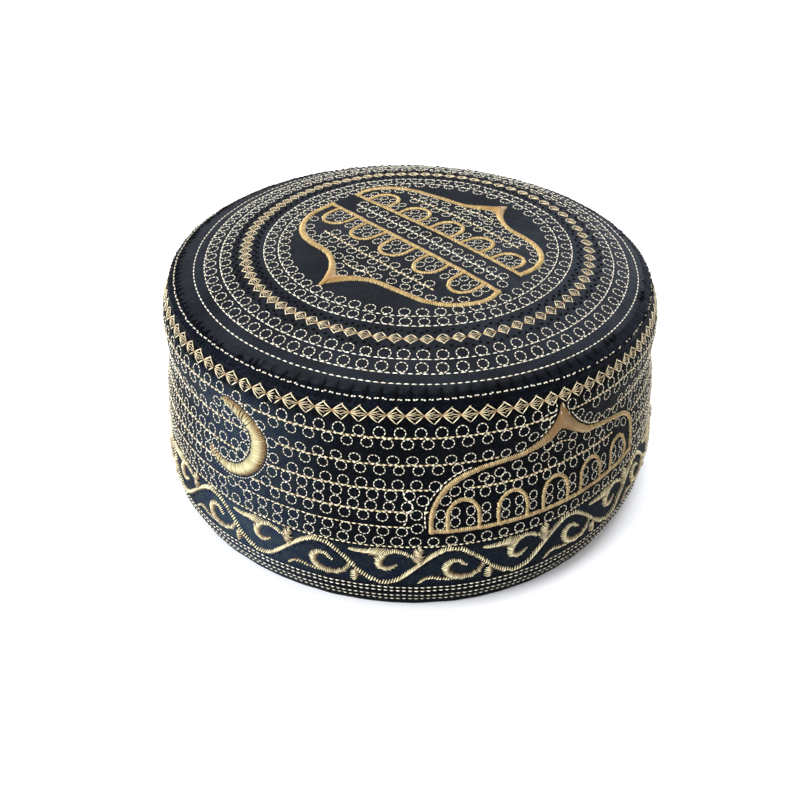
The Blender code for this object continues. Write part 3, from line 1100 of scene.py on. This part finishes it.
def evened(count, mean, swing, phase):
    """Angles of count things round a ring, closer together on one side; one of them is at phase."""
    angle = np.radians(np.linspace(-180, 180, 1441))
    pace = 1 / (mean + swing * np.cos(angle - math.radians(CLOSER_TOWARD)))
    total = np.concatenate([[0], np.cumsum((pace[1:] + pace[:-1]) / 2)])
    total *= count / total[-1]
    first = np.interp(math.radians(phase), angle, total) % 1
    return np.interp(np.arange(count) + first, total, angle)


# How the chart of a dome lies on the crown's, for the nearer and the farther dome: turn and shift
CROWN_DOMES = (
    (((-0.6795, 0.7336), (0.7336, 0.6795)), (-37.01, -35.52)),
    (((0.6729, -0.6891), (-0.6425, -0.5271)), (39.40, 31.70)),
)


class KUFI_OT_crown_cloth(bpy.types.Operator):
    """Turn the cloth of the crown"""

    bl_idname = "kufi.crown_cloth"
    bl_label = "Crown cloth"

    def execute(self, context):
        cloth = context.scene.kufi_cloth
        light = linear("#21242a")
        material = twill(
            "cotton_twill_crown", cloth.crown, light, cloth, round_crown, 0.07, CROWN_SHEEN_AND_NAP
        )
        edge = RIM_RADIUS / MM - SEAM_ON_CROWN
        rows = face_rows(1.2, edge, 66) + face_rows(edge, 2.0, 14, WALL)
        obj = turned("crown_cloth", CROWN, rows, CROWN_SIDES, material)
        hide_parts("crown_top")
        return {"FINISHED"}


class KUFI_OT_band_cloth(bpy.types.Operator):
    """Turn the cloth of the band, with its rounded hem"""

    bl_idname = "kufi.band_cloth"
    bl_label = "Band cloth"

    def execute(self, context):
        cloth = context.scene.kufi_cloth
        light = linear("#080a0e")
        material = twill("cotton_twill_band", cloth.band, light, cloth, round_band, 0.025, BAND_SHEEN_AND_NAP)
        bottom = BAND_HEIGHT / MM
        fold = HEM_FOLD / MM
        hem = [
            (bottom - 0.5 * fold, 0.15 * fold), (bottom - 0.1 * fold, 0.5 * fold), (bottom, fold),
            (bottom, WALL - 0.5 * fold), (bottom - 0.3 * fold, WALL),
        ]
        outer = face_rows(SEAM_ON_BAND, bottom - fold, 80)
        rows = outer + hem + face_rows(bottom - 2 * fold, SEAM_ON_BAND, 14, WALL)
        obj = turned("band_cloth", BAND, rows, BAND_SIDES, material)
        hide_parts("side_band")
        return {"FINISHED"}


# Where the line of dashes lies round the rim: angles and distances down. Some are missing on the
# right, and at the back and on the right they are duller: angles and shares
DASH_ROW = (
    (-180, -165, -150, -140, -125, -115, -105, -85, -75, -65, -58, -45, -30, 0, 60, 120, 180),
    (-1.8, -1.9, -1.6, -1.9, -1.8, -1.4, -1.2, -1.1, -1.35, -0.85, -0.35, 0.2, 0.4, 0.0, -0.8, -1.4, -1.8),
)
DASH_KEPT = ((-70, -45, 100, 150), (1, 0.55, 0.55, 1))
DASH_BRIGHT = ((-180, -150, -60, -40, 180), (0.5, 1, 1, 0.6, 0.5))
# The hairs at the front of the rim and the comb of teeth elsewhere: middle of the front, how far
# the hairs reach from it and where the teeth begin, in degrees
HAIRS_MIDDLE = -85
HAIRS_REACH = 42
TEETH_FROM = 40
# How many crooked stitches, teeth and dashes go round the rim, before some of the teeth and of the
# dashes are left out
CROOKED = 250
TEETH = 186
DASHES = 228


class KUFI_OT_rim(bpy.types.Operator):
    """Sew the seam at the rim: the turned edge, its black overcasting and comb, and the dashes"""

    bl_idname = "kufi.rim"
    bl_label = "Rim seam"

    def execute(self, context):
        cloth = context.scene.kufi_cloth
        light = linear("#10141f")
        material = twill("cotton_twill_rim", cloth.band, light, cloth, round_band, 0.03, RIM_SHEEN_AND_NAP)
        outer = face_rows(-SEAM_ON_CROWN, SEAM_ON_BAND, 14)
        inner = [(SEAM_ON_BAND, WALL), (-SEAM_ON_CROWN, WALL)]
        edge = turned("rim_edge", BAND, outer + inner, BAND_SIDES, material)
        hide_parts("rim_seam")
        draw = np.random.default_rng(41)
        # Crooked black stitches below the dashes
        x = np.arange(CROOKED) * ROUND / CROOKED + draw.normal(0, 0.25, CROOKED)
        low = np.column_stack([x, draw.normal(1.2, 0.25, CROOKED)])
        high = np.column_stack([x + ROUND / CROOKED / 2, draw.normal(0.1, 0.25, CROOKED)])
        rows = [stitches(low, high, 0.5)]
        # A hair at each crease between two bays, bent twice
        hairs = np.arange(-BAYS // 2, BAYS // 2) * ROUND / BAYS
        hairs = hairs[np.abs(hairs / MM_PER_DEGREE - HAIRS_MIDDLE) < HAIRS_REACH]
        x = hairs[:, None] + draw.normal(0, 0.3, (len(hairs), 4))
        y = np.linspace(-1.8, -5.4, 4) + draw.normal(0, 0.2, (len(hairs), 4))
        bends = np.stack([x, y], -1)
        rows += [stitches(bends[:, k], bends[:, k + 1], 0.55 - 0.12 * k) for k in range(3)]
        # Elsewhere a comb of pointed teeth, fewer on the right
        x = (np.arange(TEETH) - TEETH / 2) * ROUND / TEETH + draw.normal(0, 0.3, TEETH)
        angle = x / MM_PER_DEGREE
        kept = draw.uniform(0, 1, TEETH) < 0.6 - 0.4 * np.cos(np.radians(angle))
        x = x[(np.abs(angle - HAIRS_MIDDLE) > TEETH_FROM) & kept]
        n = len(x)
        tip = np.column_stack([x + draw.normal(0, 0.35, n), draw.uniform(-5.6, -4.2, n)])
        for spread in (-0.6, -0.2, 0.2, 0.6):
            start = np.column_stack([x + spread, draw.normal(-2.3, 0.2, n)])
            rows.append(stitches(start, tip + (spread * 0.3, abs(spread)), 0.42))
        obj = sew("rim_overcast", BAND, rows, plain_thread(context, "black"), 42, form=(5, 2))
        # The dashes, each of two short stitches
        x = np.arange(DASHES) * ROUND / DASHES
        angle = wrapped(x / MM_PER_DEGREE)
        rows = []
        for shift in (-0.42, 0.42):
            middle = x + shift
            y = np.interp(angle, *DASH_ROW) + draw.normal(0, 0.10, DASHES)
            tilt = draw.normal(0, 0.08, DASHES)
            start = np.column_stack([middle - 0.40, y - tilt])
            end = np.column_stack([middle + 0.40, y + tilt])
            kept = draw.uniform(0, 1, DASHES) < np.interp(angle, *DASH_KEPT)
            thick = draw.uniform(0.42, 0.56, DASHES)
            dashes = stitches(start, end, thick, bright=np.interp(angle, *DASH_BRIGHT))
            rows.append(dashes[kept])
        sew("rim_dashes", BAND, rows, plain_thread(context, "ivory"), 43)
        return {"FINISHED"}


class KUFI_OT_band_lines(bpy.types.Operator):
    """Sew the lines round the band and the rows above its hem"""

    bl_idname = "kufi.band_lines"
    bl_label = "Band lines"

    def execute(self, context):
        rows = [band_line(y, beaded) for y in BAND_LINES[:4]]
        rows += [band_line(y, running) for y in BAND_LINES[4:]]
        sew("band_lines", BAND, rows, plain_thread(context, "pale_gold"), 51)
        rows = []
        for y, bright in zip(HEM_ROWS, HEM_BRIGHT):
            line = np.column_stack([ALL_ROUND, np.full(len(ALL_ROUND), y)])
            rows.append(running(line, 2.05, 0.80, 0.46, bright=bright))
        sew("hem_rows", BAND, rows, plain_thread(context, "ivory"), 52)
        return {"FINISHED"}


class KUFI_OT_band_circles(bpy.types.Operator):
    """Sew the rows of small circles round the band"""

    bl_idname = "kufi.band_circles"
    bl_label = "Band circles"

    def execute(self, context):
        centres = [circle_row(*row) for row in CIRCLE_ROWS]
        for places, circles in ((DOMES, DOME_CIRCLES), (CRESCENTS, CRESCENT_CIRCLES)):
            centres += [np.array(circles) + (place, 0) for place in places]
        rows = rings(np.concatenate(centres), 61)
        sew("band_circles", BAND, [rows], plain_thread(context, "ivory"), 62)
        return {"FINISHED"}


# Where the row of diamonds lies round the band: angles, and distances down
DIAMOND_ROW = (
    (-180, -150, -125, -110, -98, -88, -77, -68, -60, -45, -30, 0, 60, 180),
    (4.1, 4.1, 4.2, 4.0, 3.7, 3.6, 4.1, 4.4, 4.8, 5.3, 5.6, 5.2, 4.3, 4.1),
)
DIAMONDS = 98


class KUFI_OT_band_diamonds(bpy.types.Operator):
    """Sew the row of diamonds under the rim, with the black notches below it"""

    bl_idname = "kufi.band_diamonds"
    bl_label = "Band diamonds"

    def execute(self, context):
        x = (-115.88 + np.arange(DIAMONDS) * 360 / DIAMONDS) * MM_PER_DEGREE
        centres = np.column_stack([x, np.interp(wrapped(x / MM_PER_DEGREE), *DIAMOND_ROW)])
        wide = ROUND / DIAMONDS
        rows = diamonds(centres, wide, 5.0 - 0.5 * np.clip(centres[:, 1] - 4.0, 0, 1))
        sew("band_diamonds", BAND, [rows], plain_thread(context, "pale_gold"), 71, FAN_SPAN)
        rows = []
        for share in (-0.5, 0.0, 0.5):
            low = centres + (wide / 2 + share * 1.3, 2.9)
            high = centres + (wide / 2 + share * 0.3, 1.1)
            rows.append(stitches(low, high, 0.6))
        sew("band_notches", BAND, rows, plain_thread(context, "black"), 72)
        return {"FINISHED"}


class KUFI_OT_side_domes(bpy.types.Operator):
    """Sew the domed arcades on the band"""

    bl_idname = "kufi.side_domes"
    bl_label = "Band domes"

    def execute(self, context):
        rows = copies(dome_lines(BAND_FINE), DOMES)
        sew("band_dome_lines", BAND, [rows], plain_thread(context, "pale_gold"), 83)
        spacing = context.scene.kufi_thread.rib * DOME_CLOSE
        rows = copies(dome_satin(DOME_OUTLINE, ARCHES, spacing, 0.85), DOMES)
        # The satin colour painted with the light and shade that fall on the band's domes
        gold = gold_thread(context, "domes", "#704a12", (0.97, 1.0, 1.10))
        sew("band_domes", BAND, [rows], gold, 81, EDGED_SPAN, (4, 1))
        ends = np.array(DOME_TIPS)
        parts = [dome_circles(BAND_FINE, ARCHES)]
        parts.append(stitches(ends[:, :2], ends[:, 2:], 0.36, 0.5, bright=0.8))
        parts += [running(smooth(path), 1.9, 0.8, 0.44) for path in DOME_EDGE_LINES]
        rows = [copies(part, DOMES) for part in parts]
        sew("band_dome_circles", BAND, rows, plain_thread(context, "ivory"), 82)
        return {"FINISHED"}


class KUFI_OT_crescents(bpy.types.Operator):
    """Sew the crescents on the band"""

    bl_idname = "kufi.crescents"
    bl_label = "Band crescents"

    def execute(self, context):
        edges = smooth(CRESCENT_EDGES)
        spacing = context.scene.kufi_thread.rib * CRESCENT_CLOSE
        ribs = satin(edges, spacing, 91, fray=0.14, thick=0.56, dim=0.15)
        one = np.concatenate([underlay(edges), ribs])
        # The two horns are sewn in a zigzag
        draw = np.random.default_rng(93)
        down = (one[:, 1] + one[:, 3]) / 2
        horn = np.interp(down, UPPER_HORN, (1, 0)) + (one[:, 0] < LOWER_HORN)
        one[:, 2:4] += horn[:, None] * draw.normal(0, 0.7, (len(one), 2))
        one[:, 7] *= 1 - 0.3 * np.minimum(horn, 1)
        # The satin colour painted with the light and shade that fall on the crescents
        gold = gold_thread(context, "crescents", "#84602a", (0.79, 1.03, 1.34))
        rows = copies(one, CRESCENTS)
        sew("band_crescents", BAND, [rows], gold, 92, SHADED_SPAN, (4, 2))
        # Small pale stitches round its outline
        out = edges[:, :2] - edges[:, 2:]
        out *= 0.85 / np.linalg.norm(out, axis=1, keepdims=True)
        dots = [running(path, 1.3, 0.6, 0.36) for path in (edges[:, :2] + out, edges[:, 2:] - out)]
        rows = [copies(part, CRESCENTS) for part in dots]
        sew("crescent_edges", BAND, rows, plain_thread(context, "ivory"), 94)
        return {"FINISHED"}


class KUFI_OT_vine(bpy.types.Operator):
    """Sew the vine scroll above the hem"""

    bl_idname = "kufi.vine"
    bl_label = "Vine scroll"

    def execute(self, context):
        rows = copies(vine_satin(context.scene.kufi_thread.rib), VINES)
        # The satin colour painted with the light and shade that fall on the vine
        gold = gold_thread(context, "vine", "#64400c", (1.04, 1.23, 1.6), 0.75)
        sew("band_vine", BAND, [rows], gold, 101, VINE_SPAN, (4, 1))
        # Black stitches in the cloth beside the stem
        x = np.arange(1.5, VINE_PERIOD, 3.0)
        low = np.column_stack([x, stem(x) + 2.2])
        rows = copies(stitches(low, low + (0.5, -0.8), 0.6), VINES)
        sew("band_vine_dots", BAND, [rows], plain_thread(context, "black"), 102)
        return {"FINISHED"}


class KUFI_OT_crown_rings(bpy.types.Operator):
    """Sew the lines and circles that ring the crown"""

    bl_idname = "kufi.crown_rings"
    bl_label = "Crown rings"

    def execute(self, context):
        rows = []
        for radius in RING_LINES:
            rows.append(running(arc(radius, -145, -35), CROWN_PITCH, 0.88, 0.42))
            rows.append(running(arc(radius, -35, 215), CROWN_PITCH, 0.97, 0.40))
        sew("crown_lines", CROWN, rows, plain_thread(context, "ivory"), 111)
        centres = [on_ring(radius, evened(*spaced)) for radius, spaced in CROWN_CIRCLES]
        rows = rings(np.concatenate(centres), 112, 2.0, 2.0, thick=0.34)
        sew("crown_circles", CROWN, [rows], plain_thread(context, "ivory"), 113)
        return {"FINISHED"}


class KUFI_OT_crown_diamonds(bpy.types.Operator):
    """Sew the ring of diamonds on the crown, with the black dots beside it"""

    bl_idname = "kufi.crown_diamonds"
    bl_label = "Crown diamonds"

    def execute(self, context):
        radius, spaced = CROWN_DIAMONDS
        angles = evened(*spaced)
        rows = diamonds(on_ring(radius, angles), 4.9, 4.6, angles + math.pi / 2, 0.8)
        sew("crown_diamonds", CROWN, [rows], plain_thread(context, "pale_gold"), 121, FAN_SPAN)
        rows = []
        for radius, spaced in CROWN_DOTS:
            for side in (-0.24, 0.24):
                angles = evened(*spaced) + side / radius
                ends = (on_ring(radius + end, angles) for end in (-0.55, 0.55))
                rows.append(stitches(*ends, 0.62))
        sew("crown_dots", CROWN, rows, plain_thread(context, "black"), 122)
        return {"FINISHED"}


class KUFI_OT_crown_domes(bpy.types.Operator):
    """Sew the two domes on the crown and the rows between them"""

    bl_idname = "kufi.crown_domes"
    bl_label = "Crown domes"

    def execute(self, context):
        rows = [moved(dome_lines(CROWN_FINE), *place) for place in CROWN_DOMES]
        sew("crown_dome_lines", CROWN, rows, plain_thread(context, "pale_gold"), 134)
        spacing = context.scene.kufi_thread.rib * DOME_CLOSE
        one = dome_satin(CROWN_DOME_OUTLINE, CROWN_ARCHES, spacing, 0.7)
        rows = [moved(one, *place) for place in CROWN_DOMES]
        # The satin colour painted with the light and shade that fall on the crown's domes
        gold = gold_thread(context, "crown", "#8c6220", (1.03, 1.05, 1.04))
        sew("crown_domes", CROWN, rows, gold, 131, EDGED_SPAN, (4, 1))
        circles = dome_circles(CROWN_FINE, CROWN_ARCHES)
        rows = [moved(circles, *place) for place in CROWN_DOMES]
        # Between the domes: a line, and a row of circles either side of it
        turn, shift = CROWN_DOMES[0]
        middle = np.array([(x, 55.0) for x in np.linspace(-42, 38, 9)])
        rows.append(moved(running(middle, 2.2, 0.9), turn, shift))
        beside = [(x, 57.3) for x in np.arange(-40.0, 38, 5.85)]
        beside += [(x, 52.9) for x in np.arange(-43.5, 38, 5.85)]
        rows.append(rings(np.array(beside) @ np.array(turn) + shift, 132))
        sew("crown_dome_circles", CROWN, rows, plain_thread(context, "ivory"), 133)
        return {"FINISHED"}


# The camera as the photograph has it, in metres, millimetres and degrees, and the stage
LENS = 52.83
AIM = (-0.00494, 0.00030, 0.02179)
CAMERA_HEIGHT = math.radians(35.38)
CAMERA_DISTANCE = 0.4737
CAMERA_ROLL = math.radians(0.26)
FLOOR_SIZE = 30
# The soft lights: place, size, share of the key light's power, and colour
SOFTBOXES = {
    "key_softbox": ((-1.9, -1.0, 1.7), 1.6, 1.0, "#fbfcff"),
    "top_softbox": ((0.5, 0.9, 2.4), 1.8, 0.9, "#fbfcff"),
    "left_softbox": ((-1.1, -0.85, 0.35), 0.6, 0.24, "#e2ecff"),
    "back_softbox": ((1.1, 2.0, 1.0), 1.2, 0.26, "#c8daff"),
}


class KUFI_OT_stage(bpy.types.Operator):
    """Lay the floor and set the lights and the camera"""

    bl_idname = "kufi.stage"
    bl_label = "Stage"

    def execute(self, context):
        props = context.scene.kufi_stage
        bpy.ops.object.select_all(action="DESELECT")
        bpy.ops.mesh.primitive_plane_add(size=FLOOR_SIZE, location=(0, 0, 0))
        floor = context.object
        floor.name = "floor"
        # Matt white paper, plain and without a shine, lit a little from below so that shadows are pale
        material, tree = new_material("matt_paper_floor")
        surface = {
            "Base Color": rgba(props.floor),
            "Roughness": 0.9,
            "Specular IOR Level": 0.1,
            "Emission Color": rgba(props.floor),
            "Emission Strength": props.glow,
        }
        add(tree, "OutputMaterial", {"Surface": add(tree, "BsdfPrincipled", surface)})
        floor.data.materials.append(material)
        world = bpy.data.worlds.new("white_surround")
        world.use_nodes = True
        background = world.node_tree.nodes["Background"]
        background.inputs["Color"].default_value = (1, 1, 1, 1)
        background.inputs["Strength"].default_value = props.surround
        context.scene.world = world
        for name, (place, size, share, colour) in SOFTBOXES.items():
            bpy.ops.object.light_add(type="AREA", location=place)
            lamp = context.object
            lamp.name = name
            lamp.data.size = size
            lamp.data.energy = props.key * share
            lamp.data.color = linear(colour)
            toward = Vector((0, 0, 0.05)) - Vector(place)
            lamp.rotation_euler = toward.to_track_quat("-Z", "Y").to_euler()
        back = Vector((0, -math.cos(CAMERA_HEIGHT), math.sin(CAMERA_HEIGHT)))
        bpy.ops.object.camera_add(location=Vector(AIM) + back * CAMERA_DISTANCE)
        camera = context.object
        camera.name = "camera"
        camera.data.lens = LENS
        camera.data.sensor_width = 36
        camera.rotation_euler = (-back).to_track_quat("-Z", "Y").to_euler()
        camera.rotation_euler.rotate_axis("Z", CAMERA_ROLL)
        camera.data.clip_start = 0.01
        camera.data.clip_end = 20
        context.scene.camera = camera
        context.scene.view_settings.view_transform = "Standard"
        return {"FINISHED"}


OPERATORS = (
    KUFI_OT_crown_cloth, KUFI_OT_band_cloth, KUFI_OT_rim, KUFI_OT_band_lines, KUFI_OT_band_circles,
    KUFI_OT_band_diamonds, KUFI_OT_side_domes, KUFI_OT_crescents, KUFI_OT_vine, KUFI_OT_crown_rings,
    KUFI_OT_crown_diamonds, KUFI_OT_crown_domes, KUFI_OT_stage,
)
GROUPS = {"kufi_cloth": KufiCloth, "kufi_thread": KufiThread, "kufi_stage": KufiStage}


class KUFI_PT_panel(bpy.types.Panel):
    """Sizes, colours and pieces of the kufi"""

    bl_idname = "KUFI_PT_panel"
    bl_label = "Kufi"
    bl_space_type = "VIEW_3D"
    bl_region_type = "UI"
    bl_category = "Kufi"

    def draw(self, context):
        for name, group in GROUPS.items():
            box = self.layout.box()
            for setting in group.__annotations__:
                box.prop(getattr(context.scene, name), setting)
        for operator in OPERATORS:
            self.layout.operator(operator.bl_idname)


def register():
    """Registers the settings, the operators and the panel."""
    for name, group in GROUPS.items():
        bpy.utils.register_class(group)
        setattr(bpy.types.Scene, name, PointerProperty(type=group))
    for cls in (*OPERATORS, KUFI_PT_panel):
        bpy.utils.register_class(cls)


def unregister():
    """Takes them out again."""
    for cls in (KUFI_PT_panel, *reversed(OPERATORS)):
        bpy.utils.unregister_class(cls)
    for name, group in GROUPS.items():
        delattr(bpy.types.Scene, name)
        bpy.utils.unregister_class(group)


def main():
    """Makes every piece in order."""
    register()
    for operator in OPERATORS:
        group, name = operator.bl_idname.split(".")
        getattr(getattr(bpy.ops, group), name)()


if __name__ == "__main__":
    main()
